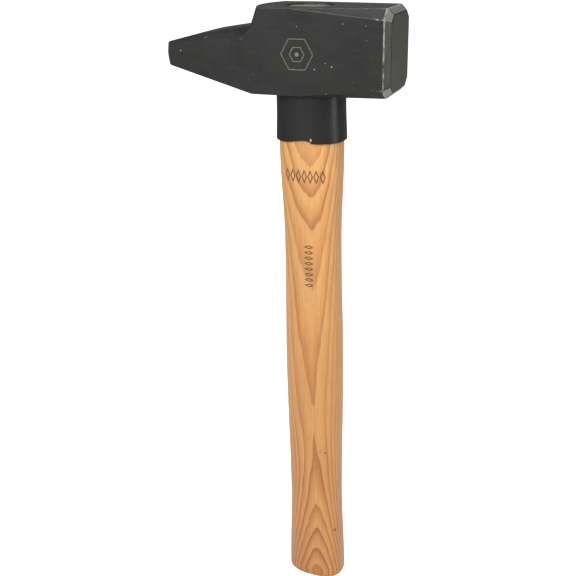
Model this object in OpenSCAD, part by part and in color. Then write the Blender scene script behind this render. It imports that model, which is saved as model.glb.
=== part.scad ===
// Blacksmith hammer: forged cross-peen head on an oval hickory handle, with a steel guard sleeve
// below the head. Millimetres. The handle stands on the centre of its flat butt face, +Z runs up
// the handle to the head, and +X points to the striking face.

/* [Overall] */
// Length of the whole hammer, from the butt to the top of the head
hammer_len = 416; // [340:1:500]
// Length of the head, from the tip of the peen to the striking face
head_len = 142; // [134:1:170]
// Height of the head's body, along the handle
body_h = 50; // [46:0.5:60]
// Width of the head, from cheek to cheek
head_w = 42.5; // [36:0.5:51]

/* [Striking face] */
// Distance from the handle's centre line to the striking face
face_reach = 55.4; // [48:0.2:68]
// Bevel ground around the striking face
face_bevel = 3.5; // [1:0.1:5]
// Height of the corner flats on the cheeks, at the face
flat_h = 6; // [2:0.1:10]
// Width of the corner flats across the head's top and underside, at the face
flat_w = 7; // [2:0.1:10]
// How far past the handle's centre line, towards the peen, the corner flats start
flat_run = 5; // [0:0.5:22]

/* [Peen] */
// Distance from the handle's centre line to the bulging step above the peen, at the top
step_reach = 31.5; // [28:0.1:36]
// Steepness of the step, in degrees from level
step_angle = 70; // [60:1:88]
// Radius of the step's bulge, seen from above
step_radius = 34.5; // [30:0.5:60]
// Distance from the head's mid height up to the top edge of the peen's tip
tip_rise = 4.4; // [0:0.1:8]
// Thickness of the peen's tip
tip_thick = 14.1; // [8:0.1:20]
// Rise of the peen's top from the tip to its bend, in degrees
nose_rise = 14; // [8:0.1:25]
// Distance from the handle's centre line to the bend in the peen's top
nose_reach = 68; // [56:0.1:74]
// Radius of the bend in the peen's top
nose_radius = 150; // [20:5:160]
// Rise of the peen's top from its bend to the step, in degrees
peen_rise = 8.7; // [0:0.1:12]
// Height of the crown's lower edges above the head's mid height, at the tip
crown_low = 3.7; // [0:0.1:6]
// Rise of the crown's lower edges along the cheeks, in degrees
crown_rise = 5.3; // [0:0.1:10]
// Slope of the crown's two sides, from the cheeks in to the ridge, in degrees
crown_lean = 45; // [20:1:70]
// Distance from the handle's centre line to where the crown's lower edges turn up to the step
crown_reach = 34.5; // [32:0.1:40]
// Distance from the handle's centre line to the place where the peen's underside starts to rise
heel_reach = 30.6; // [26:0.2:40]
// Crown of the peen's tip, the depth of its bulge
tip_crown = 1; // [0.3:0.1:3]
// Radius of the tip's two edges
tip_edge = 1.6; // [0.5:0.1:3]

/* [Eye] */
// Length of the eye, towards the face
eye_len = 27; // [22:0.5:32]
// Width of the eye, from cheek to cheek
eye_w = 18; // [14:0.5:22]
// How much wider the eye's mouth is all round, at the top of the head
mouth_flare = 0.9; // [0.2:0.1:2]
// Depth of the flared mouth
mouth_depth = 7; // [3:0.5:14]
// How far the handle's top end lies below the top of the head
tenon_drop = 0.7; // [0.2:0.1:4]

/* [Handle] */
// Half breadth of the handle at its butt
butt_half = 20.8; // [14:0.1:24]
// Half breadth at the waist above the butt
waist_half = 19; // [13:0.1:22]
// Half breadth at the belly, where the hand rests
belly_half = 19.9; // [14:0.1:24]
// Half breadth at the neck below the head
neck_half = 18.7; // [13:0.1:22]
// Half breadth where the handle enters the sleeve
collar_half = 20.4; // [17:0.1:26]
// Half breadth at the top of the collar, inside the sleeve
seat_half = 19.7; // [16.5:0.1:25]
// Thickness of the handle as a share of its breadth
slimness = 0.7; // [0.6:0.01:0.95]
// Squareness of the handle's oval: 2 is an ellipse, more is squarer
oval_power = 2.5; // [2:0.1:3.5]
// Radius of the edge around the butt
butt_edge = 3; // [1:0.5:6]

/* [Sleeve] */
// Length of the guard sleeve below the head
sleeve_len = 29.6; // [20:0.1:50]
// Wall of the guard sleeve
sleeve_wall = 1.6; // [1:0.1:3]
// Gap between the sleeve and the handle all round
sleeve_gap = 0.2; // [0.05:0.05:1]
// Gap between the sleeve and the underside of the head
sleeve_drop = 0.3; // [0.1:0.1:2]

/* [Wedges] */
// Depth of the saw kerf in the handle's top end
kerf_depth = 36; // [20:1:48]
// Thickness of the hardwood wedge at its top
kerf_wedge_top = 4; // [2:0.1:5]
// Thickness of the hardwood wedge at its foot
kerf_wedge_foot = 1.2; // [0.6:0.1:2]
// Width of each steel cross wedge, from cheek to cheek
cross_wedge_w = 12.5; // [8:0.5:14]
// Length of each steel cross wedge
cross_wedge_len = 20; // [12:0.5:28]
// Thickness of each steel cross wedge at its top
cross_wedge_top = 2.5; // [1.5:0.1:3.5]
// Thickness of each steel cross wedge at its foot
cross_wedge_foot = 0.8; // [0.4:0.1:1.2]
// Distance between the two cross wedges
cross_wedge_pitch = 9; // [6:0.5:12]
// Gap around the handle's top end and around each wedge
fit_gap = 0.05; // [0.02:0.01:0.2]

/* [Hidden] */
$fn = 96;

top_z = hammer_len;
under_z = hammer_len - body_h;
mid_z = hammer_len - body_h / 2;
tip_x = face_reach - head_len;
tenon_z = top_z - tenon_drop;
reach = 2 * hammer_len;          // longer than any cut has to be
cut = 1;                         // how far a cut runs past the face it opens on

// Handle stations from the butt up, as [height, half breadth]
waist_z = 0.18 * hammer_len;
belly_z = 0.42 * hammer_len;
neck_z = 0.65 * hammer_len;
shoulder_h = 7;                  // height of the sloping shoulder that the head sits on
seat_z = under_z - shoulder_h;
collar_z = under_z - sleeve_len - 5;
stations = [[0, butt_half], [waist_z, waist_half], [belly_z, belly_half], [neck_z, neck_half],
            [collar_z, collar_half], [seat_z, seat_half]];
foot_z = under_z - sleeve_len;
ring_step = 9;                   // height between two rings of the handle's surface
collar_rings = 6;                // rings between the sleeve's foot and the sloping shoulder
ring_points = 56;                // points around each ring
butt_rings = 5;                  // rings around the butt's rounded edge

// A smooth swell from one station's half breadth to the next one's
function ease(t) = (1 - cos(180 * t)) / 2;
function swell(z, i = 0) = z >= stations[i + 1][0] && i < len(stations) - 2
    ? swell(z, i + 1)
    : let (a = stations[i], b = stations[i + 1], t = (z - a[0]) / (b[0] - a[0]))
      a[1] + (b[1] - a[1]) * ease(max(0, min(1, t)));

// One oval ring of points, of half breadth a and half thickness b
function oval(a, b, z) = [for (k = [0:ring_points - 1])
    let (w = 360 * k / ring_points, c = cos(w), s = sin(w))
    [a * sign(c) * pow(abs(c), 2 / oval_power), b * sign(s) * pow(abs(s), 2 / oval_power), z]];

// A ring of the handle's surface, pushed outwards by grow
function handle_ring(z, grow = 0) = oval(swell(z) + grow, swell(z) * slimness + grow, z);

// Heights of the rings inside the sleeve, which the handle and the sleeve share
collar_levels = [for (k = [0:collar_rings]) foot_z + (seat_z - foot_z) * k / collar_rings];

// Closed skin over a stack of rings
module skin(rings) {
    n = ring_points;
    last = len(rings) - 1;
    sides = [for (i = [0:last - 1]) for (k = [0:n - 1])
        let (a = i * n + k, b = i * n + (k + 1) % n) each [[a, b + n, b], [a, a + n, b + n]]];
    ends = [[for (k = [0:n - 1]) k], [for (k = [0:n - 1]) last * n + n - 1 - k]];
    polyhedron([for (r = rings) each r], concat(sides, ends));
}

// A bar with half-round ends, running up from the ground
module bar(long, wide, high) {
    linear_extrude(high) {
        square([long - wide, wide], center = true);
        for (side = [-1, 1]) translate([side * (long - wide) / 2, 0]) circle(d = wide);
    }
}

// A bar whose sides lean outwards by flare over its height
module flared_bar(long, wide, high, flare) {
    half = (long - wide) / 2;
    rotate([90, 0, 90]) translate([0, 0, -half]) linear_extrude(2 * half)
        polygon([[-wide / 2, 0], [wide / 2, 0], [wide / 2 + flare, high], [-wide / 2 - flare, high]]);
    for (side = [-1, 1]) translate([side * half, 0, 0])
        cylinder(h = high, r1 = wide / 2, r2 = wide / 2 + flare);
}

// A wedge with its top at height 0, thicker there than at its foot, across the handle
module wedge(long, wide, thick_top, thick_foot, grow = 0, past = 0) {
    lean = (thick_top - thick_foot) / 2 / long;
    rotate([90, 0, 0]) linear_extrude(wide + 2 * grow, center = true)
        polygon([[-thick_top / 2 - grow - lean * past, past], [-thick_foot / 2 - grow, -long - grow],
                 [thick_foot / 2 + grow, -long - grow], [thick_top / 2 + grow + lean * past, past]]);
}

// Everything beyond the plane through point p that faces n
module beyond(p, n) {
    translate(p) rotate([0, acos(n.z / norm(n)), atan2(n.y, n.x)])
        translate([-reach, -reach, 0]) cube([2 * reach, 2 * reach, reach]);
}

// Points of an arc of radius r that rounds the corner at p, between the directions to a and to b
function rounded(a, p, b, r, steps = 8) =
    let (u = (a - p) / norm(a - p), v = (b - p) / norm(b - p), half = acos(u * v) / 2,
         c = p + (u + v) / norm(u + v) * r / sin(half), s = p + u * r / tan(half),
         e = p + v * r / tan(half), w0 = atan2(s.y - c.y, s.x - c.x),
         w1 = atan2(e.y - c.y, e.x - c.x), turn = (w1 - w0 + 540) % 360 - 180)
    [for (k = [0:steps]) c + r * [cos(w0 + turn * k / steps), sin(w0 + turn * k / steps)]];

// Side view of the head as [x, height above its mid height], from the face's top corner round
tip_top = [tip_x + tip_crown, tip_rise];
tip_foot = [tip_x + tip_crown, tip_rise - tip_thick];
tip_nose = [tip_x, tip_rise - tip_thick / 2];
nose = [-nose_reach, tip_rise + tan(nose_rise) * (-nose_reach - tip_top.x)];
heel = [-heel_reach, -body_h / 2];
// The peen's top runs on under the body to here
root = [0, nose.y + tan(peen_rise) * nose_reach];
over = body_h;                   // above everything that is cut from the head's top
tip_over = tip_nose + (tip_top - tip_nose)       // the tip's front, carried up to the top
    * (body_h / 2 - tip_nose.y) / (tip_top.y - tip_nose.y);
// The head before its top is cut down to the peen
head_outline = concat(
    [[face_reach, body_h / 2], tip_over],
    rounded(tip_top, tip_nose, tip_foot, tip_thick, 4),
    rounded(tip_nose, tip_foot, heel, tip_edge, 5),
    [heel, [face_reach, -body_h / 2]]);
// What is cut away above the peen, down to the tip's rounded top edge
tip_arc = rounded(tip_nose, tip_top, nose, tip_edge, 5);
peen_outline = concat(
    [[tip_x - cut, over], [tip_x - cut, tip_arc[0].y]],
    tip_arc,
    rounded(tip_top, nose, root, nose_radius, 10),
    [root, [root.x, over]]);

// Cuts one corner flat: side is the cheek, up is 1 at the top of the head and -1 underneath
module corner_flat(side, up) {
    run = face_reach + flat_run;
    start = [-flat_run, side * head_w / 2, mid_z + up * body_h / 2];
    beyond(start, [flat_h * flat_w / run, side * flat_h, up * flat_w]);
}

// Cuts the bevel around the striking face
module face_bevels() {
    foot = face_reach - face_bevel;
    for (side = [-1, 1]) {
        beyond([foot, side * head_w / 2, mid_z], [1, side, 0]);
        beyond([foot, 0, mid_z + side * body_h / 2], [1, 0, side]);
        for (up = [-1, 1]) {
            lean = norm([flat_h, flat_w]);
            beyond([foot, side * head_w / 2, mid_z + up * (body_h / 2 - flat_h)],
                   [1, side * flat_h / lean, up * flat_w / lean]);
        }
    }
}

// Height of the crown's lower edges at x, above the head's mid height
function crown_z(x) = crown_low + tan(crown_rise) * (x - tip_top.x);
crown_turn = 14;                 // radius where the crown's lower edges turn up
crown_end = [-28, 16];           // where they meet the step

// Cuts the crown's two sides, which widen from the tip of the peen to the step
module crown_sides() {
    start = [tip_x - cut, crown_z(tip_x - cut)];
    turn = [-crown_reach, crown_z(-crown_reach)];
    outline = concat([start], rounded(start, turn, crown_end, crown_turn, 6),
        [crown_end, [root.x, over], [tip_x - cut, over]]);
    for (side = [0, 1]) mirror([0, side, 0]) translate([0, -head_w / 2, 0])
        rotate([crown_lean - 90, 0, 0]) linear_extrude(head_w, center = true)
            polygon([for (q = outline) [q.x, -q.y * cos(crown_lean)]]);
}

// The step: a steep cone around the eye, whose top edge bulges towards the peen
module step_cone() {
    slope = body_h / tan(step_angle);
    translate([step_radius - step_reach, 0, -body_h / 2])
        cylinder(h = body_h, r1 = step_radius + slope, r2 = step_radius);
    translate([step_radius - step_reach, 0, body_h / 2 - cut / 2])
        cylinder(h = over, r = step_radius);
}

module hammer_head() {
    color([0.2, 0.2, 0.19]) difference() {
        translate([0, 0, mid_z]) rotate([90, 0, 0])
            linear_extrude(head_w, center = true) polygon(head_outline);
        translate([0, 0, mid_z]) difference() {
            union() {
                rotate([90, 0, 0]) linear_extrude(head_w + 2 * cut, center = true)
                    polygon(peen_outline);
                crown_sides();
            }
            step_cone();
        }
        for (side = [-1, 1]) for (up = [-1, 1]) corner_flat(side, up);
        face_bevels();
        crown_sides();
        translate([0, 0, under_z - cut]) bar(eye_len, eye_w, body_h + 2 * cut);
        translate([0, 0, top_z - mouth_depth]) flared_bar(eye_len, eye_w,
            mouth_depth + cut, mouth_flare * (mouth_depth + cut) / mouth_depth);
    }
}

// The two steel wedges' places along the eye
function cross_wedge_x(side) = side * cross_wedge_pitch / 2;

module cross_slots(past) {
    for (side = [-1, 1]) translate([cross_wedge_x(side), 0, tenon_z])
        wedge(cross_wedge_len, cross_wedge_w, cross_wedge_top, cross_wedge_foot, fit_gap, past);
}

module kerf(grow, past) {
    translate([0, 0, tenon_z]) rotate([0, 0, 90])
        wedge(kerf_depth, eye_len, kerf_wedge_top, kerf_wedge_foot, grow, past);
}

module handle() {
    body_rings = floor((foot_z - butt_edge) / ring_step);
    butt = [for (k = [0:butt_rings - 1]) let (w = 90 * k / butt_rings)
        handle_ring(butt_edge * (1 - cos(w)), -butt_edge * (1 - sin(w)))];
    blade = [for (k = [0:body_rings - 1])
        handle_ring(butt_edge + (foot_z - butt_edge) * k / body_rings)];
    collar = [for (z = collar_levels) handle_ring(z)];
    shoulder = [oval(eye_len / 2 - fit_gap, eye_w / 2 - fit_gap, under_z - fit_gap)];
    color([0.85, 0.63, 0.4]) difference() {
        union() {
            skin(concat(butt, blade, collar, shoulder));
            translate([0, 0, seat_z])
                bar(eye_len - 2 * fit_gap, eye_w - 2 * fit_gap, tenon_z - seat_z);
        }
        kerf(fit_gap, cut);
        cross_slots(cut);
    }
}

module handle_sleeve() {
    levels = concat(collar_levels, under_z - sleeve_drop);
    color([0.13, 0.13, 0.125]) difference() {
        skin([for (z = levels) handle_ring(z, sleeve_gap + sleeve_wall)]);
        skin([for (z = concat(foot_z - cut, levels, under_z + cut)) handle_ring(z, sleeve_gap)]);
    }
}

module kerf_wedge() {
    color([0.62, 0.42, 0.25]) intersection() {
        difference() {
            kerf(0, 0);
            cross_slots(cut);
        }
        translate([0, 0, tenon_z - kerf_depth - cut])
            bar(eye_len - 2 * fit_gap, eye_w, kerf_depth + 2 * cut);
    }
}

module cross_wedge(side) {
    color([0.6, 0.6, 0.58]) translate([cross_wedge_x(side), 0, tenon_z])
        wedge(cross_wedge_len, cross_wedge_w, cross_wedge_top, cross_wedge_foot);
}

hammer_head();
handle();
handle_sleeve();
kerf_wedge();
cross_wedge(-1);  // cross_wedge_peen_side
cross_wedge(1);  // cross_wedge_face_side
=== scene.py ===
"""A blacksmith hammer: forged cross-peen head, hickory handle, guard sleeve and wedges.

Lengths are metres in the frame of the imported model: the handle stands on the origin, +Z runs up it
to the head and +X points to the striking face.
"""

import math

import bmesh
import bpy
from bpy.props import FloatProperty, FloatVectorProperty, IntProperty, PointerProperty
from bpy.types import Operator, Panel, PropertyGroup
from mathutils import Matrix, Vector


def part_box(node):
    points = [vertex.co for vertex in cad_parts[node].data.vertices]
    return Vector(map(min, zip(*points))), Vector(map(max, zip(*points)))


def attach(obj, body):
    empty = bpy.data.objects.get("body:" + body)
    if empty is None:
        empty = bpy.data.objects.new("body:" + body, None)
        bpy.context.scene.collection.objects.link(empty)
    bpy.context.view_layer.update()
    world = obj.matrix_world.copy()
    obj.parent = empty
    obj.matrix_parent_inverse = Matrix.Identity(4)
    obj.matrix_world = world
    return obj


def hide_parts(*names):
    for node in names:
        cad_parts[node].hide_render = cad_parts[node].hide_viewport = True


bl_info = {
    "name": "Blacksmith hammer",
    "version": (1, 0, 0),
    "blender": (4, 5, 0),
    "location": "View3D > Sidebar > Hammer",
    "description": "Builds a cross-peen blacksmith hammer around its packed frame",
    "category": "Object",
}

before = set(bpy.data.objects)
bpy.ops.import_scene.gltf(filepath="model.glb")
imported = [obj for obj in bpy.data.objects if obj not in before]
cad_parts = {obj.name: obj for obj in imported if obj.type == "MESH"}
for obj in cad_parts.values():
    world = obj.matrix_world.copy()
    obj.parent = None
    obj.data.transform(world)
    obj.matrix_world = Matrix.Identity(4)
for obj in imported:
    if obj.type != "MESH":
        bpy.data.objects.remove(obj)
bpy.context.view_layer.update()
HEAD_LOW, HEAD_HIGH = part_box("hammer_head")
HANDLE_LOW, HANDLE_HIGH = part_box("handle")
SLEEVE_LOW, SLEEVE_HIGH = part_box("handle_sleeve")
KERF_LOW, KERF_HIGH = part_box("kerf_wedge")
CROSS_WEDGES = ("cross_wedge_peen_side", "cross_wedge_face_side")
MM = 0.001
MID_Z = (HEAD_LOW.z + HEAD_HIGH.z) / 2
HAMMER_LEN = HEAD_HIGH.z


def length(name, text, millimetres):
    """A length the user can change, given in millimetres and kept in metres."""
    return FloatProperty(name=name, description=text, default=millimetres * MM, min=0,
                         precision=5, subtype="DISTANCE", unit="LENGTH")


def angle(name, text, degrees):
    """An angle the user can change, given in degrees and kept in radians."""
    return FloatProperty(name=name, description=text, default=math.radians(degrees),
                         subtype="ANGLE", unit="ROTATION")


def colour(name, text, code):
    """A colour the user can change, from an sRGB hex code."""
    return FloatVectorProperty(name=name, description=text, default=linear(code), size=4,
                               min=0, max=1, subtype="COLOR")


def linear(code):
    """Linear red, green, blue and alpha of an sRGB hex code."""
    parts = [int(code[i:i + 2], 16) / 255 for i in (1, 3, 5)]
    return (*[c / 12.92 if c <= 0.04045 else ((c + 0.055) / 1.055) ** 2.4 for c in parts], 1.0)


class HeadSizes(PropertyGroup):
    """Sizes of the forged head."""

    face_bevel: length("Face bevel", "Bevel ground around the striking face", 3.5)
    flat_h: length("Corner flat height", "Height of the corner flats at the face", 6.0)
    flat_w: length("Corner flat width", "Width of the corner flats at the face", 7.0)
    flat_run: length("Corner flat start", "How far behind the handle the flats start", 5.0)
    step_reach: length("Step", "Handle's centre line to the bulging step above the peen", 31.5)
    step_angle: angle("Step angle", "Steepness of the step", 70.0)
    step_radius: length("Step bulge", "Radius of the step, seen from above", 34.5)
    tip_rise: length("Tip height", "Mid height of the head to the tip's top edge", 4.4)
    tip_thick: length("Tip thickness", "Thickness of the peen's tip", 14.1)
    tip_crown: length("Tip crown", "Bulge of the peen's tip", 1.0)
    tip_edge: length("Tip edge", "Radius of the tip's two edges", 1.6)
    nose_rise: angle("Nose rise", "Slope of the peen's top from the tip to its bend", 14.0)
    nose_reach: length("Nose", "Handle's centre line to the bend in the peen's top", 68.0)
    nose_radius: length("Nose bend", "Radius of the bend in the peen's top", 150.0)
    peen_rise: angle("Peen rise", "Slope of the peen's top from the bend to the step", 8.7)
    crown_low: length("Crown height", "Crown's lower edges above the middle, at the tip", 3.7)
    crown_rise: angle("Crown rise", "Slope of the crown's lower edges along the cheeks", 5.3)
    crown_lean: angle("Crown lean", "Slope of the crown's sides, in from the cheeks", 45.0)
    crown_reach: length("Crown end", "Handle's centre line to the crown's upturned end", 34.5)
    crown_turn: length("Crown turn", "Radius where the crown's lower edges turn up", 14.0)
    crown_back: length("Crown back", "Handle's centre line to the top of the upturned end", 28.0)
    crown_top: length("Crown top", "Height of the upturned end above the middle", 16.0)
    heel_reach: length("Heel", "Handle's centre line to where the peen's underside rises", 30.6)
    edge_round: length("Edge rounding", "Radius of the forged edges", 0.45)
    eye_len: length("Eye length", "Length of the eye towards the face", 27.0)
    eye_w: length("Eye width", "Width of the eye", 18.0)
    mouth_flare: length("Mouth flare", "How much wider the eye's mouth is all round", 0.9)
    mouth_depth: length("Mouth depth", "Depth of the flared mouth", 7.0)


class HandleSizes(PropertyGroup):
    """Sizes of the hickory handle."""

    butt_half: length("Butt", "Half breadth at the butt", 20.8)
    waist_half: length("Waist", "Half breadth at the waist above the butt", 19.0)
    belly_half: length("Belly", "Half breadth at the belly", 19.9)
    neck_half: length("Neck", "Half breadth at the neck", 18.7)
    collar_half: length("Collar", "Half breadth where the handle enters the sleeve", 20.4)
    seat_half: length("Seat", "Half breadth at the top of the collar", 19.7)
    butt_edge: length("Butt edge", "Radius of the edge around the butt", 3.0)
    shoulder_h: length("Shoulder", "Height of the sloping shoulder under the head", 7.0)
    slimness: FloatProperty(name="Slimness", description="Thickness as a share of breadth",
                            default=0.7, min=0.5, max=1)
    oval_power: FloatProperty(name="Squareness", description="2 is an ellipse, more is squarer",
                              default=2.5, min=2, max=4)
    sleeve_gap: length("Sleeve gap", "Gap between the sleeve and the handle", 0.2)
    sleeve_wall: length("Sleeve wall", "Wall of the guard sleeve", 1.6)
    fit_gap: length("Fit gap", "Gap around the handle's top end and the wedges", 0.05)
    around: IntProperty(name="Points around", description="Mesh points around the oval",
                        default=96, min=24, max=192)


class HammerColours(PropertyGroup):
    """Colours of the finishes."""

    paint: colour("Head paint", "Thin satin black on forged steel", "#20201F")
    ground: colour("Ground steel", "Steel ground with a belt", "#8F8E86")
    bright: colour("Bare edge", "Steel rubbed bright on the edges", "#B9B6A8")
    enamel: colour("Sleeve enamel", "Satin black enamel", "#1B1C1B")
    wood_light: colour("Early wood", "Pale early wood of hickory", "#E8B06A")
    wood_mid: colour("Heart wood", "Body colour of hickory", "#D6924C")
    wood_dark: colour("Late wood", "Red-brown late wood of hickory", "#A9622F")
    burn: colour("Burned marks", "Wood scorched by a branding iron", "#643614")


class CameraSizes(PropertyGroup):
    """Where the camera stands."""

    orbit: angle("Orbit", "Turn around the head from straight in front", 21.397)
    distance: FloatProperty(name="Distance", description="Level distance to the handle's line",
                            default=0.53286, unit="LENGTH", subtype="DISTANCE")
    height: FloatProperty(name="Height", description="Height above the head's middle",
                          default=0.07362, unit="LENGTH", subtype="DISTANCE")
    turn: angle("Turn", "Turn of the camera from the handle's line", 1.877)
    tilt: angle("Tilt", "Downward tilt", 23.352)
    roll: angle("Roll", "Roll", -1.526)
    lens: FloatProperty(name="Lens", description="Focal length in millimetres", default=53.946)


# ---------------------------------------------------------------- mesh helpers


def shown(name, bm, *materials):
    """A new object at the origin that holds bm, with its materials."""
    mesh = bpy.data.meshes.new(name)
    bm.to_mesh(mesh)
    bm.free()
    piece = bpy.data.objects.new(name, mesh)
    bpy.context.scene.collection.objects.link(piece)
    for material in materials:
        mesh.materials.append(material)
    return piece


def finish_shading(piece, degrees):
    """Smooth shading with edges sharper than the angle kept sharp."""
    piece.data.shade_smooth()
    piece.data.set_sharp_from_angle(angle=math.radians(degrees))


def cut(piece, *cutters):
    """Subtracts the cutters from the piece's mesh and removes them."""
    for cutter in cutters:
        modifier = piece.modifiers.new(cutter.name, "BOOLEAN")
        modifier.object, modifier.operation, modifier.solver = cutter, "DIFFERENCE", "EXACT"
        modifier.use_hole_tolerant = False
    depsgraph = bpy.context.evaluated_depsgraph_get()
    made = bpy.data.meshes.new_from_object(piece.evaluated_get(depsgraph))
    piece.modifiers.clear()
    old, name = piece.data, piece.data.name
    piece.data = made
    bpy.data.meshes.remove(old)
    made.name = name
    for cutter in cutters:
        mesh = cutter.data
        bpy.data.objects.remove(cutter)
        bpy.data.meshes.remove(mesh)


def claim(piece, node):
    """The piece stands for a CAD node: it hangs under the root body and the node is hidden."""
    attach(piece, "root")
    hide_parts(node)


def ease(t):
    """Smooth step from 0 to 1."""
    return (1 - math.cos(math.pi * max(0.0, min(1.0, t)))) / 2


def oval(turn, a, b, power):
    """Point of an oval of half breadth a and half thickness b."""
    c, s = math.cos(turn), math.sin(turn)
    return (a * math.copysign(abs(c) ** (2 / power), c),
            b * math.copysign(abs(s) ** (2 / power), s))


def bar(turn, a, b):
    """Point of a bar with half-round ends, 2a long and 2b wide."""
    rounded = 0.7                # share of each quarter's points that lie on the round end
    c, s = math.cos(turn), math.sin(turn)
    t = math.atan2(abs(s), abs(c)) / (math.pi / 2)
    if t < rounded:
        w = t / rounded * math.pi / 2
        x, y = a - b + b * math.cos(w), b * math.sin(w)
    else:
        x, y = (a - b) * (1 - t) / (1 - rounded), b
    return math.copysign(x, c), math.copysign(y, s)


def tube(around, rings):
    """A capped tube of that many points around, with rings at whole heights 0, 1, 2 and on."""
    bm = bmesh.new()
    bmesh.ops.create_cone(bm, cap_ends=True, segments=around, radius1=1, radius2=1, depth=1)
    upright = [e for e in bm.edges if abs(e.verts[0].co.z - e.verts[1].co.z) > 0.5]
    bmesh.ops.subdivide_edges(bm, edges=upright, cuts=rings - 2)
    for v in bm.verts:
        v.co.z = (v.co.z + 0.5) * (rings - 1)
    return bm


def reshape(bm, levels, section):
    """Moves each ring to its level; section gives x and y from the turn, the level and the ring."""
    for v in bm.verts:
        ring = round(v.co.z)
        x, y = section(math.atan2(v.co.y, v.co.x), levels[ring], ring)
        v.co = (x, y, levels[ring])


# ---------------------------------------------------------------- materials


def add(tree, kind, inputs=None, **settings):
    """Adds a shader node, with its settings and with values or links on its inputs."""
    node = tree.nodes.new("ShaderNode" + kind)
    for name, value in settings.items():
        setattr(node, name, value)
    for key, value in (inputs or {}).items():
        if isinstance(value, bpy.types.NodeSocket):
            tree.links.new(value, node.inputs[key])
        else:
            node.inputs[key].default_value = value
    return node


def new_material(name):
    """An empty material and its node tree, with coordinates in millimetres."""
    material = bpy.data.materials.new(name)
    material.use_nodes = True
    tree = material.node_tree
    tree.nodes.clear()
    place = add(tree, "TexCoord").outputs["Object"]
    mm = add(tree, "VectorMath", {0: place, "Scale": 1 / MM}, operation="SCALE").outputs[0]
    return material, tree, mm


def ramp(tree, fac, stops):
    """Colour ramp through (place, colour) stops."""
    node = add(tree, "ValToRGB", {"Fac": fac})
    elements = node.color_ramp.elements
    elements[0].position, elements[0].color = stops[0]
    elements[1].position, elements[1].color = stops[-1]
    for place, value in stops[1:-1]:
        elements.new(place).color = value
    return node.outputs["Color"]


def grain(tree, mm, size, detail=2.0, roughness=0.5):
    """Noise with a grain of size (x, y, z) in millimetres."""
    stretched = add(tree, "Mapping", {"Vector": mm, "Scale": [1 / s for s in size]}).outputs[0]
    return add(tree, "TexNoise", {"Vector": stretched, "Scale": 1.0, "Detail": detail,
                                  "Roughness": roughness}).outputs["Fac"]


def calc(tree, how, *values, **settings):
    """Result of one arithmetic node."""
    return add(tree, "Math", dict(enumerate(values)), operation=how, **settings).outputs[0]


def fade(tree, value, start, end, low=0.0, high=1.0):
    """Clamped ramp of a value from low at start to high at end."""
    return add(tree, "MapRange", {"Value": value, "From Min": start, "From Max": end,
                                  "To Min": low, "To Max": high}).outputs["Result"]


def sums(tree, *terms):
    """Sum of (value, factor) terms."""
    total = 0.0
    for value, factor in terms:
        total = add(tree, "Math", {0: value, 1: factor, 2: total},
                    operation="MULTIPLY_ADD").outputs[0]
    return total


def blended(tree, fac, first, second, how="MIX"):
    """Colour mix."""
    return add(tree, "Mix", {"Factor": fac, 6: first, 7: second}, data_type="RGBA",
               blend_type=how).outputs[2]


def toned(tree, base, tone):
    """A colour made lighter or darker by a factor."""
    grey = add(tree, "CombineColor", {0: tone, 1: tone, 2: tone}).outputs[0]
    return blended(tree, 1.0, base, grey, "MULTIPLY")


def surface(tree, colour_in, roughness, height, bump_mm, **settings):
    """Principled surface with a bump; further sockets are named with underscores for spaces."""
    inputs = {"Base Color": colour_in, "Roughness": roughness}
    inputs.update({name.replace("_", " "): value for name, value in settings.items()})
    shader = add(tree, "BsdfPrincipled", inputs)
    bump = add(tree, "Bump", {"Height": height, "Strength": 1.0, "Distance": bump_mm * MM})
    tree.links.new(bump.outputs[0], shader.inputs["Normal"])
    tree.links.new(shader.outputs[0], add(tree, "OutputMaterial").inputs["Surface"])
    return shader


def emblem_mask(tree, mm, centre, radius, line):
    """Etched mark on the front cheek: two plain hexagons, one in the other, around a dot."""
    flat = add(tree, "Mapping", {"Vector": mm, "Location": [-centre[0], 0, -centre[1]],
                                 "Scale": (1, 0, 1)}).outputs[0]
    far = add(tree, "VectorMath", {0: flat}, operation="LENGTH").outputs["Value"]
    axes = add(tree, "VectorMath", {0: flat}, operation="ABSOLUTE").outputs[0]
    split = add(tree, "SeparateXYZ", {0: axes})
    slant = sums(tree, (split.outputs["X"], math.cos(math.radians(30))),
                 (split.outputs["Z"], math.sin(math.radians(30))))
    across = calc(tree, "MAXIMUM", slant, split.outputs["Z"])
    nearest = sums(tree, (far, 1.0), (1.0, -0.1 * radius))
    for share in (0.87, 0.4):
        outline = calc(tree, "ABSOLUTE", sums(tree, (across, 1.0), (1.0, -share * radius)))
        nearest = calc(tree, "MINIMUM", nearest, outline)
    return fade(tree, nearest, line * 0.7, line * 0.3)


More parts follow.
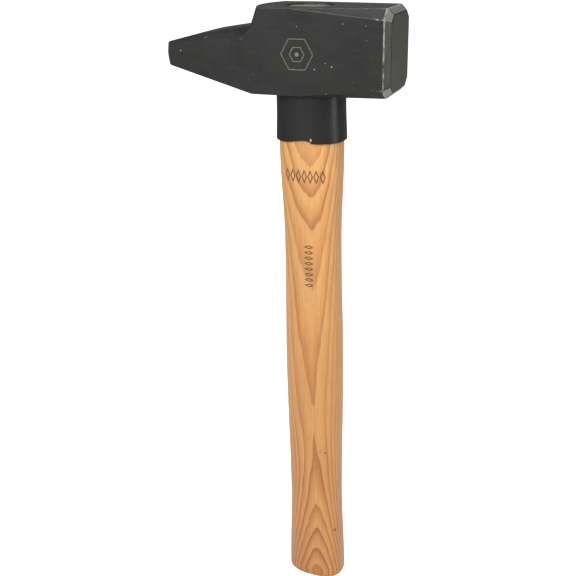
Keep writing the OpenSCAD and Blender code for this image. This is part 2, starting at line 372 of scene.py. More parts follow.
def forged_paint(colours):
    """Thin satin black paint over drop-forged steel: dull, slightly mottled by the scale under it,
    with stray pale specks and an etched mark on the front cheek."""
    material, tree, mm = new_material("satin_black_paint_on_forged_steel")
    split = add(tree, "SeparateXYZ", {0: mm})
    scale_marks = grain(tree, mm, (1.1, 1.1, 1.1), 4.0, 0.6)
    patches = grain(tree, mm, (14, 14, 14), 2.0)
    tone = sums(tree, (scale_marks, 0.55), (patches, 0.9), (1.0, 0.3))
    base = toned(tree, colours.paint, tone)
    cells = add(tree, "TexVoronoi", {"Vector": mm, "Scale": 1 / 3.5})
    lucky = add(tree, "SeparateColor", {0: cells.outputs["Color"]}).outputs[0]
    size = fade(tree, lucky, 0.6, 1.0, 0.0, 0.11)
    speck = calc(tree, "LESS_THAN", cells.outputs["Distance"], size)
    base = blended(tree, speck, base, colours.bright)
    mark_at, mark_radius, line_w = (-0.5, MID_Z / MM - 0.7), 9.97, 0.42
    mark = emblem_mask(tree, mm, mark_at, mark_radius, line_w)
    front = fade(tree, split.outputs["Y"], HEAD_LOW.y / MM + 0.5, HEAD_LOW.y / MM + 0.3)
    mark = calc(tree, "MULTIPLY", mark, front)
    etched = sums(tree, (grain(tree, mm, (0.6, 0.6, 0.6), 2.0), 0.9), (1.0, 0.25))
    mark = calc(tree, "MULTIPLY", mark, etched, use_clamp=True)
    base = blended(tree, mark, base, colours.ground)
    rough = sums(tree, (scale_marks, 0.22), (patches, 0.1), (1.0, 0.34))
    height = sums(tree, (scale_marks, 0.12), (patches, 0.5))
    surface(tree, base, rough, height, 1.0, Specular_IOR_Level=0.4)
    return material


def worn_edge(colours):
    """The same paint on a rounded edge, rubbed through to bright steel in places."""
    material, tree, mm = new_material("worn_painted_edge")
    rubbed = sums(tree, (grain(tree, mm, (5, 5, 5), 3.0, 0.7), 1.0),
                  (grain(tree, mm, (0.7, 0.7, 0.7), 2.0), 0.6))
    x = add(tree, "SeparateXYZ", {0: mm}).outputs["X"]
    knocked, spared = fade(tree, x, 46, 51.5, 0.0, 0.3), fade(tree, x, 52.6, 53.4)
    bare = fade(tree, sums(tree, (rubbed, 1.0), (knocked, 1.0), (spared, -0.4)), 0.93, 1.15,
                0.0, 0.75)
    base = blended(tree, bare, colours.paint, colours.bright)
    surface(tree, base, 0.45, rubbed, 0.1)
    return material


def ground_steel(colours, name, along, brightness):
    """Steel ground with a belt and oiled: fine scratches along one axis and warm grey patches."""
    material, tree, mm = new_material(name)
    fine = [0.35, 0.35, 0.35]
    fine[along] = 25.0
    coarse = [1.4, 1.4, 1.4]
    coarse[along] = 40.0
    scratches = grain(tree, mm, fine, 3.0, 0.7)
    streaks = grain(tree, mm, coarse, 2.0)
    patches = grain(tree, mm, (9, 9, 9), 3.0, 0.6)
    tone = sums(tree, (scratches, 0.3 * brightness), (streaks, 0.25 * brightness),
                (patches, 0.3 * brightness), (1.0, 0.6 * brightness))
    base = toned(tree, colours.ground, tone)
    rough = sums(tree, (scratches, 0.2), (patches, 0.15), (1.0, 0.26))
    surface(tree, base, rough, scratches, 0.05, Metallic=0.85)
    return material


def sleeve_enamel(colours):
    """Satin black enamel on a pressed steel tube: smooth, with faint orange peel and fine dust,
    and one nick through to bright steel above the rim."""
    material, tree, mm = new_material("satin_black_enamel")
    peel = grain(tree, mm, (1.6, 1.6, 1.6), 2.0)
    haze = grain(tree, mm, (9, 9, 16), 3.0)
    tone = sums(tree, (haze, 0.7), (peel, 0.2), (1.0, 0.55))
    base = toned(tree, colours.enamel, tone)
    split = add(tree, "SeparateXYZ", {0: mm})
    nick_x, nick_z, squat = 5.4, 339.1, 0.6      # squat is the nick's breadth over its height
    nick = add(tree, "Mapping", {"Vector": mm, "Scale": (1.0, 0, squat),
                                 "Location": (-nick_x, 0, -nick_z * squat)}).outputs[0]
    nick = add(tree, "VectorMath", {0: nick}, operation="LENGTH").outputs["Value"]
    nick = fade(tree, sums(tree, (nick, 1.0), (peel, 0.8)), 1.1, 0.9)
    front = fade(tree, split.outputs["Y"], -5, -6)
    nick = calc(tree, "MULTIPLY", nick, front)
    base = blended(tree, nick, base, colours.bright)
    rough = sums(tree, (haze, 0.16), (peel, 0.06), (1.0, 0.3))
    surface(tree, base, rough, peel, 0.03, Specular_IOR_Level=0.42)
    return material


def burn_mask(tree, split, handle_front):
    """Marks of a branding iron on the front: a row and a column of plain lozenges."""
    x, z = split.outputs["X"], split.outputs["Z"]
    pitch, row_z, row_half, row_high = 3.9, 315.3, 13.65, 3.7
    u = calc(tree, "FLOORED_MODULO", sums(tree, (x, 1.0), (1.0, row_half)), pitch)
    u = calc(tree, "ABSOLUTE", sums(tree, (u, 1.0), (1.0, -pitch / 2)))
    v = calc(tree, "ABSOLUTE", sums(tree, (z, 1.0), (1.0, -row_z)))
    lozenge = sums(tree, (u, 1 / 1.45), (v, 1 / row_high), (1.0, -1.0))
    lozenge = calc(tree, "ABSOLUTE", lozenge)
    row = fade(tree, lozenge, 0.3, 0.18)
    within = calc(tree, "ABSOLUTE", sums(tree, (x, 1.0)))
    within = fade(tree, within, row_half + 0.2, row_half)
    row = calc(tree, "MULTIPLY", row, within)
    column_x, column_z, column_half, step = 1.8, 255.0, 15.2, 3.8
    w = calc(tree, "FLOORED_MODULO", sums(tree, (z, 1.0), (1.0, -column_z + column_half)), step)
    w = calc(tree, "ABSOLUTE", sums(tree, (w, 1.0), (1.0, -step / 2)))
    side = calc(tree, "ABSOLUTE", sums(tree, (x, 1.0), (1.0, -column_x)))
    chevron = sums(tree, (w, 1.0), (side, 0.33), (1.0, -0.95))
    chevron = calc(tree, "ABSOLUTE", chevron)
    column = fade(tree, chevron, 0.42, 0.26)
    wide = fade(tree, side, 2.9, 2.7)
    high = calc(tree, "ABSOLUTE", sums(tree, (z, 1.0), (1.0, -column_z)))
    high = fade(tree, high, column_half + 0.1, column_half - 0.1)
    column = calc(tree, "MULTIPLY", column, wide)
    column = calc(tree, "MULTIPLY", column, high)
    marks = calc(tree, "MAXIMUM", row, column)
    return calc(tree, "MULTIPLY", marks, handle_front)


def hickory(colours):
    """Clear-lacquered hickory, sawn so that the growth rings lie flat to the front: pale wood with
    red-brown late wood in long tapering arches, short open pores and a few pin knots."""
    material, tree, mm = new_material("lacquered_hickory")
    split = add(tree, "SeparateXYZ", {0: mm})
    x, y, z = (split.outputs[k] for k in "XYZ")
    ring_w = 2.6                 # millimetres of wood laid down in a year
    turning_z = 128.0            # the arches point away from this height, up and down
    front_y = 13.8               # about half the handle's thickness
    up = fade(tree, z, turning_z, turning_z + 300, 0.0, 300.0)
    down = fade(tree, z, turning_z, turning_z - 120, 0.0, 120.0)
    up = calc(tree, "POWER", up, 2.0)
    down = calc(tree, "POWER", down, 2.0)
    low = fade(tree, z, 150, 95)
    square = calc(tree, "POWER", x, 2.0)
    bend = calc(tree, "MULTIPLY", square, low)
    slide = calc(tree, "MULTIPLY", x, sums(tree, (low, 0.075), (1.0, 0.02)))
    point = calc(tree, "ABSOLUTE", sums(tree, (x, 1.0), (1.0, -4.0)))
    wander = grain(tree, mm, (16, 12, 110), 2.0)
    ripple = grain(tree, mm, (3.5, 3.5, 26), 2.0)
    feather = grain(tree, mm, (0.5, 0.5, 7), 3.0, 0.7)
    up_pitch, down_pitch = 9500, 3700        # square millimetres of height for each ring
    noise_mean, first_ring = 0.625, 0.148
    phase = sums(tree, (y, -1 / ring_w), (1.0, -front_y / ring_w), (up, 1 / up_pitch),
                 (down, 1 / down_pitch), (bend, -0.005), (slide, 1.0), (point, -0.035),
                 (wander, 0.9), (ripple, 0.28), (feather, 0.07), (1.0, -first_ring - noise_mean))
    year = calc(tree, "FRACT", phase)
    rings = ramp(tree, year, [
        (0.0, colours.wood_dark), (0.1, colours.wood_dark), (0.34, colours.wood_mid),
        (0.72, colours.wood_light), (0.97, colours.wood_light), (1.0, colours.wood_mid)])
    plain = blended(tree, 0.45, colours.wood_mid, colours.wood_light)
    whole = calc(tree, "FLOOR", phase)
    strength = add(tree, "TexWhiteNoise", {"W": whole}, noise_dimensions="1D").outputs["Value"]
    strength = sums(tree, (strength, 0.4), (low, 0.35), (1.0, 0.32))
    strength = calc(tree, "MINIMUM", strength, 1.0)
    base = blended(tree, strength, plain, rings)
    fibre = grain(tree, mm, (0.7, 0.7, 30), 3.0, 0.6)
    cloud = grain(tree, mm, (10, 10, 60), 2.0)
    # darker towards the butt: up to half late-wood colour at the bottom
    base = blended(tree, fade(tree, z, 320, 0, 0.0, 0.5), base, colours.wood_dark)
    tone = sums(tree, (fibre, 0.55), (cloud, 0.24), (1.0, 0.62))
    base = toned(tree, base, tone)
    pores = fade(tree, grain(tree, mm, (0.3, 0.3, 4.5), 2.0), 0.62, 0.72)
    base = blended(tree, sums(tree, (pores, 0.55)), base, colours.wood_dark)
    knots = 0.0
    for at, size in (((8.0, -12.9, 113.3), 1.0), ((11.4, -11.9, 112.7), 1.2),
                     ((17.5, -8.5, 44), 2.0)):
        far = add(tree, "VectorMath", {0: mm, 1: at}, operation="DISTANCE").outputs["Value"]
        near = fade(tree, far, size, size * 0.2, 0.0, 0.85)
        knots = calc(tree, "MAXIMUM", near, knots)
    front = fade(tree, y, -2, -4)
    burned = burn_mask(tree, split, front)
    uneven = sums(tree, (grain(tree, mm, (1.2, 1.2, 1.2), 2.0), 0.8), (1.0, 0.6))
    burned = calc(tree, "MULTIPLY", burned, uneven, use_clamp=True)
    scorched = calc(tree, "MAXIMUM", burned, knots)
    base = blended(tree, scorched, base, colours.burn)
    rough = sums(tree, (fibre, 0.2), (pores, 0.15), (1.0, 0.36))
    height = sums(tree, (fibre, 0.4), (pores, -0.6), (burned, -1.0))
    surface(tree, base, rough, height, 0.12, Coat_Weight=0.8, Coat_Roughness=0.16, IOR=1.5)
    return material


def end_grain(name, first, second):
    """Sawn wood in the eye, shiny at a low angle, mixed from two given colours: on the handle, pale
    grey painted as the low-angle reflection on the end, and near-black painted as the shade round
    the tenon's sides.
    """
    material, tree, mm = new_material(name)
    pores = grain(tree, mm, (0.5, 0.9, 0.5), 3.0, 0.7)
    base = blended(tree, pores, first, second)
    surface(tree, base, 0.34, pores, 0.1, Coat_Weight=0.6, Coat_Roughness=0.2)
    return material


def wedge_wood(colours):
    """End grain of a hardwood wedge, streaked and burnished by the blows, painted pale grey as its
    low-angle reflection.
    """
    material, tree, mm = new_material("hardwood_wedge_end_grain")
    lines = grain(tree, mm, (6, 0.5, 12), 3.0, 0.7)
    # the pale grey mixed in here is a painted reflection, not the wood's colour
    base = blended(tree, lines, colours.bright, colours.burn)
    surface(tree, base, 0.4, lines, 0.15, Coat_Weight=0.5, Coat_Roughness=0.2)
    return material


# ---------------------------------------------------------------- pieces


def corner_round(bm, vertex, radius, segments):
    """Rounds one corner of a flat outline with an arc of that radius."""
    first, second = (e.other_vert(vertex).co - vertex.co for e in vertex.link_edges)
    reach = radius / math.tan(first.angle(second) / 2)
    bmesh.ops.bevel(bm, geom=[vertex], offset=reach, offset_type="OFFSET", segments=segments,
                    profile=0.5, affect="VERTICES", material=-1)


def head_points(sizes):
    """Corners of the head's side view, as (x, height above the middle)."""
    half = (HEAD_HIGH.z - HEAD_LOW.z) / 2
    tip_x = HEAD_LOW.x + sizes.tip_crown
    tip_z = sizes.tip_rise - sizes.tip_thick / 2
    nose_z = sizes.tip_rise + math.tan(sizes.nose_rise) * (-sizes.nose_reach - tip_x)
    lean = sizes.tip_crown / (sizes.tip_rise - tip_z)
    return {
        "tip_top": (tip_x, sizes.tip_rise),
        "tip": (HEAD_LOW.x, tip_z),
        "tip_foot": (tip_x, sizes.tip_rise - sizes.tip_thick),
        "tip_over": (HEAD_LOW.x + lean * (half - tip_z), half),
        "nose": (-sizes.nose_reach, nose_z),
        "root": (0, nose_z + math.tan(sizes.peen_rise) * sizes.nose_reach),
        "heel": (-sizes.heel_reach, -half),
        "face_foot": (HEAD_HIGH.x, -half),
        "face_top": (HEAD_HIGH.x, half),
    }


def flat_shape(points, y, rounds):
    """A flat face through (x, height) points, its corners rounded by (radius, segments)."""
    bm = bmesh.new()
    made = [bm.verts.new((x, y, MID_Z + z)) for x, z in points]
    bm.faces.new(made)
    for vertex, (radius, segments) in zip(made, rounds):
        if radius:
            corner_round(bm, vertex, radius, segments)
    return bm


def pulled_out(bm, vec):
    """Extrudes a flat face into a closed bar along vec."""
    moved = bmesh.ops.extrude_face_region(bm, geom=bm.faces[:])["geom"]
    bmesh.ops.translate(bm, vec=vec, verts=[g for g in moved if isinstance(g, bmesh.types.BMVert)])
    bmesh.ops.recalc_face_normals(bm, faces=bm.faces[:])


def step_cone(sizes):
    """The steep cone around the eye that the cuts above the peen leave standing."""
    over = 2 * (HEAD_HIGH.z - HEAD_LOW.z)
    slope = over / math.tan(sizes.step_angle)
    bm = bmesh.new()
    bmesh.ops.create_cone(bm, cap_ends=True, segments=160, depth=over,
                          radius1=sizes.step_radius + slope / 2,
                          radius2=sizes.step_radius - slope / 2)
    bmesh.ops.translate(bm, vec=(sizes.step_radius - sizes.step_reach, 0, HEAD_HIGH.z),
                        verts=bm.verts)
    return shown("step_cone", bm)


def peen_cutter(sizes):
    """A bar above the peen, down to its top and to the rounded edge of its tip."""
    points, over = head_points(sizes), HEAD_HIGH.z - HEAD_LOW.z
    left, drop = HEAD_LOW.x - MM, 2 * sizes.tip_edge
    outline = [(left, over), (left, sizes.tip_rise - drop),
               (HEAD_LOW.x, sizes.tip_rise - drop), points["tip_top"], points["nose"],
               points["root"], (0, over)]
    rounds = [(0, 0), (0, 0), (0, 0), (sizes.tip_edge, 5), (sizes.nose_radius, 10), (0, 0),
              (0, 0)]
    bm = flat_shape(outline, HEAD_LOW.y - MM, rounds)
    pulled_out(bm, Vector((0, HEAD_HIGH.y - HEAD_LOW.y + 2 * MM, 0)))
    return shown("peen_cutter", bm)


def crown_cutter(sizes, side):
    """A slanting bar that leaves one sloping side of the peen's crown."""
    tip_x, over = head_points(sizes)["tip_top"][0], HEAD_HIGH.z - HEAD_LOW.z
    left, turn = HEAD_LOW.x - MM, -sizes.crown_reach
    end = (-sizes.crown_back, sizes.crown_top)
    outside, through = 20 * MM, 50 * MM      # where the bar starts, and how long it is

    def low(x):
        return sizes.crown_low + math.tan(sizes.crown_rise) * (x - tip_x)

    outline = [(left, low(left)), (turn, low(turn)), end, (0, over), (left, over)]
    bm = flat_shape(outline, side * HEAD_HIGH.y, [(0, 0), (sizes.crown_turn, 8)] + [(0, 0)] * 3)
    inward = Vector((0, -side * math.cos(sizes.crown_lean), math.sin(sizes.crown_lean)))
    bmesh.ops.translate(bm, vec=-outside * inward, verts=bm.verts)
    pulled_out(bm, through * inward)
    return shown("crown_cutter", bm)


def shave(bm, point, normal):
    """Cuts away everything beyond a plane and closes the cut."""
    bmesh.ops.bisect_plane(bm, geom=bm.verts[:] + bm.edges[:] + bm.faces[:], dist=1e-7,
                           plane_co=point, plane_no=normal, clear_outer=True)
    rim = [e for e in bm.edges if e.is_boundary]
    bmesh.ops.holes_fill(bm, edges=rim, sides=0)


# two of the ground steels are copies with painted light: lit on bevels leaning up or down, shaded on
# side bevels
PAINTED, WORN, BEVEL_PAINTED_LIT, OILED, BEVEL_PAINTED_SHADED = range(5)        # the head's materials, in their order


def ground_finish_and_painted_light(normal):
    """Ground steel of the face and its bevels, with painted light: a copy painted lighter where a
    bevel leans up or down, and one painted darker where a bevel faces sideways.
    """
    if abs(normal.z) > 0.2:
        return BEVEL_PAINTED_LIT
    return OILED if abs(normal.y) < 0.2 else BEVEL_PAINTED_SHADED


def blunt_edges(bm, radius):
    """Rounds the sharp edges and gives them the worn finish."""
    sharp = [e for e in bm.edges if e.calc_face_angle(0) > math.radians(14)]
    bmesh.ops.bevel(bm, geom=sharp, offset=radius, segments=3, profile=0.5, affect="EDGES",
                    clamp_overlap=True, material=WORN)


def eye_cutter(sizes):
    """A bar through the eye that leans out at the mouth."""
    levels = [HEAD_LOW.z - MM, HEAD_HIGH.z - sizes.mouth_depth, HEAD_HIGH.z + MM]
    bm = tube(96, len(levels))
    grow = sizes.mouth_flare * (1 + MM / sizes.mouth_depth)

    def section(turn, level, ring):
        out = grow if ring == 2 else 0.0
        return bar(turn, sizes.eye_len / 2 + out, sizes.eye_w / 2 + out)

    reshape(bm, levels, section)
    return shown("eye_cutter", bm)


class HAMMER_OT_head(Operator):
    """Build the forged head: side view, corner flats, face bevel, worn edges, peen and eye"""

    bl_idname = "hammer.head"
    bl_label = "Forged head"

    def execute(self, context):
        sizes, colours = context.scene.hammer_head, context.scene.hammer_colours
        points = head_points(sizes)
        outline = [points[k] for k in ("face_top", "tip_over", "tip", "tip_foot", "heel",
                                       "face_foot")]
        rounds = [(0, 0), (0, 0), (sizes.tip_thick, 4), (sizes.tip_edge, 5),
                  (6 * sizes.edge_round, 4), (0, 0)]
        bm = flat_shape(outline, HEAD_LOW.y, rounds)
        width = HEAD_HIGH.y - HEAD_LOW.y
        pulled_out(bm, Vector((0, width, 0)))
        half_w, half_h = width / 2, (HEAD_HIGH.z - HEAD_LOW.z) / 2
        run = HEAD_HIGH.x + sizes.flat_run
        foot = HEAD_HIGH.x - sizes.face_bevel
        corners = [(side, up) for side in (-1, 1) for up in (-1, 1)]
        for side, up in corners:
            shave(bm, (-sizes.flat_run, side * half_w, MID_Z + up * half_h),
                  Vector((sizes.flat_h * sizes.flat_w / run, side * sizes.flat_h,
                          up * sizes.flat_w)).normalized())
        for side in (-1, 1):
            shave(bm, (foot, side * half_w, MID_Z), Vector((1, side, 0)).normalized())
            shave(bm, (foot, 0, MID_Z + side * half_h), Vector((1, 0, side)).normalized())
        lean = math.hypot(sizes.flat_h, sizes.flat_w)
        for side, up in corners:
            shave(bm, (foot, side * half_w, MID_Z + up * (half_h - sizes.flat_h)),
                  Vector((1, side * sizes.flat_h / lean, up * sizes.flat_w / lean)).normalized())
        for face in bm.faces:
            if face.calc_center_median().x > foot + 0.1 * MM:
                face.material_index = ground_finish_and_painted_light(face.normal)
        blunt_edges(bm, sizes.edge_round)
        # the bright and dull ground steels paint highlight and shade on the bevels by the way each
        # bevel faces
        head = shown("forged_head", bm, forged_paint(colours), worn_edge(colours),
                     ground_steel(colours, "ground_steel_painted_lit", 1, 1.25),
                     ground_steel(colours, "oiled_ground_steel", 2, 0.62),
                     ground_steel(colours, "ground_steel_painted_shaded", 2, 0.18))
        for cutter in (peen_cutter(sizes), crown_cutter(sizes, -1), crown_cutter(sizes, 1)):
            cut(cutter, step_cone(sizes))
            cut(head, cutter)
        cut(head, eye_cutter(sizes))
        finish_shading(head, 40)
        head.modifiers.new("even_shading", "WEIGHTED_NORMAL").keep_sharp = True
        claim(head, "hammer_head")
        return {"FINISHED"}


def swell(sizes, z):
    """Half breadth of the handle at a height."""
    under = HEAD_LOW.z
    seat = under - sizes.shoulder_h
    stations = [(0.0, sizes.butt_half), (0.18 * HAMMER_LEN, sizes.waist_half),
                (0.42 * HAMMER_LEN, sizes.belly_half), (0.65 * HAMMER_LEN, sizes.neck_half),
                (SLEEVE_LOW.z - 5 * MM, sizes.collar_half), (seat, sizes.seat_half)]
    for (z0, a0), (z1, a1) in zip(stations, stations[1:]):
        if z <= z1:
            return a0 + (a1 - a0) * ease((z - z0) / (z1 - z0))
    return stations[-1][1]


def wedge_cutter(name, low, high, foot_share, gap):
    """A tapered block a little larger than a wedge, open at its top."""
    bm = wedge_block(low, high, foot_share)
    middle = (low + high) / 2
    for v in bm.verts:
        v.co.x += math.copysign(gap, v.co.x - middle.x)
        v.co.y += math.copysign(gap, v.co.y - middle.y)
        v.co.z += 2 * MM if v.co.z > middle.z else -gap
    return shown(name, bm)


def wedge_block(low, high, foot_share):
    """A block between two corners whose thin direction narrows to a share at its foot."""
    bm = bmesh.new()
    bmesh.ops.create_cube(bm, size=1)
    middle, size = (low + high) / 2, high - low
    thin = 0 if size.x < size.y else 1
    for v in bm.verts:
        if v.co.z < 0:
            v.co[thin] *= foot_share
    bmesh.ops.scale(bm, vec=size, verts=bm.verts)
    bmesh.ops.translate(bm, vec=middle, verts=bm.verts)
    return bm


KERF_FOOT = 0.3                  # thickness of the hardwood wedge's foot as a share of its top
CROSS_FOOT = 0.31                # the same for the steel wedges


class HAMMER_OT_handle(Operator):
    """Build the hickory handle: oval grip, rounded butt, shoulder and a slotted tenon in the eye"""

    bl_idname = "hammer.handle"
    bl_label = "Hickory handle"

    def execute(self, context):
        sizes, eye = context.scene.hammer_handle, context.scene.hammer_head
        seat = HEAD_LOW.z - sizes.shoulder_h
        edge_rings, blade_rings = 8, 72
        rounding = [math.radians(90 * k / edge_rings) for k in range(edge_rings)]
        levels = [sizes.butt_edge * (1 - math.cos(w)) for w in rounding]
        levels += [sizes.butt_edge + (seat - sizes.butt_edge) * k / blade_rings
                   for k in range(blade_rings + 1)]
        tenon_ring = len(levels)
        blunt = 0.3 * MM         # small bevel round the tenon's end
        levels += [HEAD_LOW.z - sizes.fit_gap, HANDLE_HIGH.z - blunt, HANDLE_HIGH.z]

        def section(turn, level, ring):
            if ring >= tenon_ring:
                inset = sizes.fit_gap + (blunt if ring == len(levels) - 1 else 0)
                return bar(turn, eye.eye_len / 2 - inset, eye.eye_w / 2 - inset)
            inset = sizes.butt_edge * (1 - math.sin(rounding[ring])) if ring < edge_rings else 0
            a = swell(sizes, level)
            return oval(turn, a - inset, a * sizes.slimness - inset, sizes.oval_power)

        bm = tube(sizes.around, len(levels))
        reshape(bm, levels, section)
        colours = context.scene.hammer_colours
        # the end's pale grey is a painted reflection, and the near-black tenon sides in the eye are
        # painted shade
        handle = shown("hickory_handle", bm, hickory(colours),
                       end_grain("end_grain_painted_reflection", colours.ground, colours.burn),
                       end_grain("end_grain_painted_shade", colours.burn, colours.paint))
        cutters = [wedge_cutter("kerf_cut", KERF_LOW - Vector((MM, 0, 0)),
                                KERF_HIGH + Vector((MM, 0, 0)), KERF_FOOT, sizes.fit_gap)]
        cutters += [wedge_cutter(n, *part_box(n), CROSS_FOOT, sizes.fit_gap) for n in CROSS_WEDGES]
        cut(handle, *cutters)
        # painted reflection on the tenon's end, painted shade on its sides in the eye
        end_painted_reflection, sides_painted_shade = 1, 2
        for face in handle.data.polygons:
            if face.center.z > HEAD_LOW.z + MM:
                face.material_index = end_painted_reflection if face.normal.z > 0.5 else sides_painted_shade
        finish_shading(handle, 40)
        claim(handle, "handle")
        return {"FINISHED"}


class HAMMER_OT_sleeve(Operator):
    """Build the guard sleeve: a tapered steel tube with a dented rim"""

    bl_idname = "hammer.sleeve"
    bl_label = "Guard sleeve"

    def execute(self, context):
        sizes = context.scene.hammer_handle
        rings = 40
        wall = sizes.sleeve_wall
        rim_round = 0.5 * MM
        heights = [SLEEVE_LOW.z + (SLEEVE_HIGH.z - SLEEVE_LOW.z) * k / rings
                   for k in range(rings + 1)]
        bm = tube(2 * sizes.around, len(heights))

        def section(turn, level, ring):
            a = swell(sizes, level)
            grow = sizes.sleeve_gap + wall
            return oval(turn, a + grow, a * sizes.slimness + grow, sizes.oval_power)

        reshape(bm, heights, section)
        caps = [f for f in bm.faces if abs(f.normal.z) > 0.9]
        bmesh.ops.delete(bm, geom=caps, context="FACES")
        bmesh.ops.recalc_face_normals(bm, faces=bm.faces[:])
        if sum(f.normal.dot(Vector((f.calc_center_median().x, f.calc_center_median().y, 0)))
               for f in bm.faces) < 0:
            bmesh.ops.reverse_faces(bm, faces=bm.faces[:])
        bmesh.ops.solidify(bm, geom=bm.faces[:], thickness=wall)
        rims = [e for e in bm.edges if e.calc_face_angle(0) > math.radians(60)]
        bmesh.ops.bevel(bm, geom=rims, offset=rim_round, segments=3, profile=0.5, affect="EDGES",
                        material=-1)
        dent_sleeve(bm)
        sleeve = shown("guard_sleeve", bm, sleeve_enamel(context.scene.hammer_colours))
        finish_shading(sleeve, 50)
        claim(sleeve, "handle_sleeve")
        return {"FINISHED"}


def dent_sleeve(bm):
    """Pushes the sleeve's rim up beside the nick, on the front."""
    lift, start, crest, end = 1.8 * MM, -15 * MM, 2 * MM, 6.5 * MM
    fall = 9 * MM
    for v in bm.verts:
        if v.co.y > -8 * MM:
            continue
        above = v.co.z - SLEEVE_LOW.z
        side = ease((v.co.x - start) / (crest - start)) if v.co.x < crest \
            else ease((end - v.co.x) / (end - crest))
        v.co.z += lift * side * ease(1 - above / fall)


class HAMMER_OT_wedges(Operator):
    """Build the hardwood wedge in the kerf and the two steel wedges across it"""

    bl_idname = "hammer.wedges"
    bl_label = "Wedges"

    def execute(self, context):
        colours, gap = context.scene.hammer_colours, context.scene.hammer_handle.fit_gap
        wood = shown("hardwood_wedge", wedge_block(KERF_LOW, KERF_HIGH, KERF_FOOT),
                     wedge_wood(colours))
        cut(wood, *[wedge_cutter(n, *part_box(n), CROSS_FOOT, gap) for n in CROSS_WEDGES])
        claim(wood, "kerf_wedge")
        steel = ground_steel(colours, "sheared_wedge_steel", 1, 1.2)
        for node in CROSS_WEDGES:
            bm = wedge_block(*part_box(node), CROSS_FOOT)
            bmesh.ops.bevel(bm, geom=bm.edges[:], offset=0.2 * MM, segments=2, profile=0.5,
                            affect="EDGES", material=-1)
            wedge = shown("steel_" + node, bm, steel)
            finish_shading(wedge, 40)
            claim(wedge, node)
        return {"FINISHED"}


# ---------------------------------------------------------------- stage


def softbox(name, place, aim, size, power):
    """A white rectangular light that faces a point."""
    light = bpy.data.lights.new(name, "AREA")
    light.shape, light.size, light.size_y = "RECTANGLE", *size
    light.energy = power
    lamp = bpy.data.objects.new(name, light)
    lamp.location = place
    lamp.rotation_euler = (Vector(aim) - Vector(place)).to_track_quat("-Z", "Y").to_euler()
    bpy.context.scene.collection.objects.link(lamp)


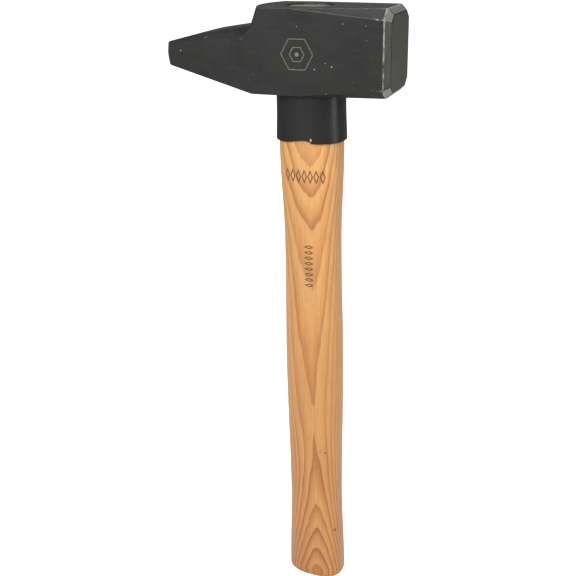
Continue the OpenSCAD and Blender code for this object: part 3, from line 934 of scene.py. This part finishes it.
class HAMMER_OT_stage(Operator):
    """Set up the pale floor, the soft studio lights, the white surroundings and the camera"""

    bl_idname = "hammer.stage"
    bl_label = "Stage"

    def execute(self, context):
        scene = context.scene
        bm = bmesh.new()
        bmesh.ops.create_grid(bm, x_segments=1, y_segments=1, size=6)
        material, tree, _ = new_material("matt_white_floor")
        floor_glow, white_glow, room_light = 1.1, 1.15, 0.16
        seen = add(tree, "LightPath").outputs["Is Camera Ray"]
        shader = add(tree, "BsdfPrincipled", {
            "Base Color": linear("#CFCFCC"), "Roughness": 0.9, "Emission Color": (1, 1, 1, 1),
            "Emission Strength": fade(tree, seen, 0, 1, 0.0, floor_glow)})
        tree.links.new(shader.outputs[0], add(tree, "OutputMaterial").inputs["Surface"])
        shown("studio_floor", bm, material)
        middle = (0, 0, HAMMER_LEN * 0.6)
        softbox("key_softbox", (-0.5, -1.6, 1.2), middle, (0.8, 0.8), 28)
        softbox("side_strip", (1.5, -0.35, 0.6), middle, (0.3, 1.2), 11)
        softbox("top_softbox", (0.1, 0.4, 1.6), middle, (1.2, 1.2), 14)
        world = bpy.data.worlds.new("white_room")
        world.use_nodes = True
        tree = world.node_tree
        tree.nodes.clear()
        ray = add(tree, "LightPath").outputs["Is Camera Ray"]
        strength = fade(tree, ray, 0, 1, room_light, white_glow)
        back = add(tree, "Background", {"Color": (1, 1, 1, 1), "Strength": strength})
        tree.links.new(back.outputs[0], add(tree, "OutputWorld").inputs["Surface"])
        scene.world = world
        scene.view_settings.view_transform = "Standard"
        scene.camera = self.camera(scene.hammer_camera)
        return {"FINISHED"}

    def camera(self, sizes):
        """The camera, in front of the head and above it, looking down the handle."""
        place = Vector((math.sin(sizes.orbit) * sizes.distance,
                        -math.cos(sizes.orbit) * sizes.distance, MID_Z + sizes.height))
        yaw = sizes.orbit + sizes.turn
        right = Vector((math.cos(yaw), math.sin(yaw), 0))
        ahead = Vector((-math.sin(yaw) * math.cos(sizes.tilt),
                        math.cos(yaw) * math.cos(sizes.tilt), -math.sin(sizes.tilt)))
        rest = Matrix((right, right.cross(ahead), -ahead)).transposed().to_4x4()
        data = bpy.data.cameras.new("studio_camera")
        data.lens, data.sensor_width = sizes.lens, 36
        camera = bpy.data.objects.new("studio_camera", data)
        camera.matrix_world = Matrix.Translation(place) @ rest @ Matrix.Rotation(sizes.roll, 4, "Z")
        bpy.context.scene.collection.objects.link(camera)
        return camera


class HAMMER_PT_panel(Panel):
    """Sidebar panel with the hammer's pieces and sizes."""

    bl_label = "Blacksmith hammer"
    bl_space_type = "VIEW_3D"
    bl_region_type = "UI"
    bl_category = "Hammer"

    def draw(self, context):
        for operator in OPERATORS:
            self.layout.operator(operator.bl_idname)
        for name in GROUPS:
            group = getattr(context.scene, name)
            box = self.layout.box()
            for prop in group.bl_rna.properties:
                if prop.identifier not in ("rna_type", "name"):
                    box.prop(group, prop.identifier)


GROUPS = {"hammer_head": HeadSizes, "hammer_handle": HandleSizes,
          "hammer_colours": HammerColours, "hammer_camera": CameraSizes}
OPERATORS = (HAMMER_OT_stage, HAMMER_OT_head, HAMMER_OT_handle, HAMMER_OT_sleeve, HAMMER_OT_wedges)


def register():
    """Adds the settings, the operators and the panel."""
    for kind in (*GROUPS.values(), *OPERATORS, HAMMER_PT_panel):
        bpy.utils.register_class(kind)
    for name, kind in GROUPS.items():
        setattr(bpy.types.Scene, name, PointerProperty(type=kind))


def unregister():
    """Takes them away again."""
    for name in GROUPS:
        delattr(bpy.types.Scene, name)
    for kind in (HAMMER_PT_panel, *reversed(OPERATORS), *GROUPS.values()):
        bpy.utils.unregister_class(kind)


def main():
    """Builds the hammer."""
    register()
    bpy.ops.hammer.stage()
    bpy.ops.hammer.head()
    bpy.ops.hammer.handle()
    bpy.ops.hammer.sleeve()
    bpy.ops.hammer.wedges()


if __name__ == "__main__":
    main()
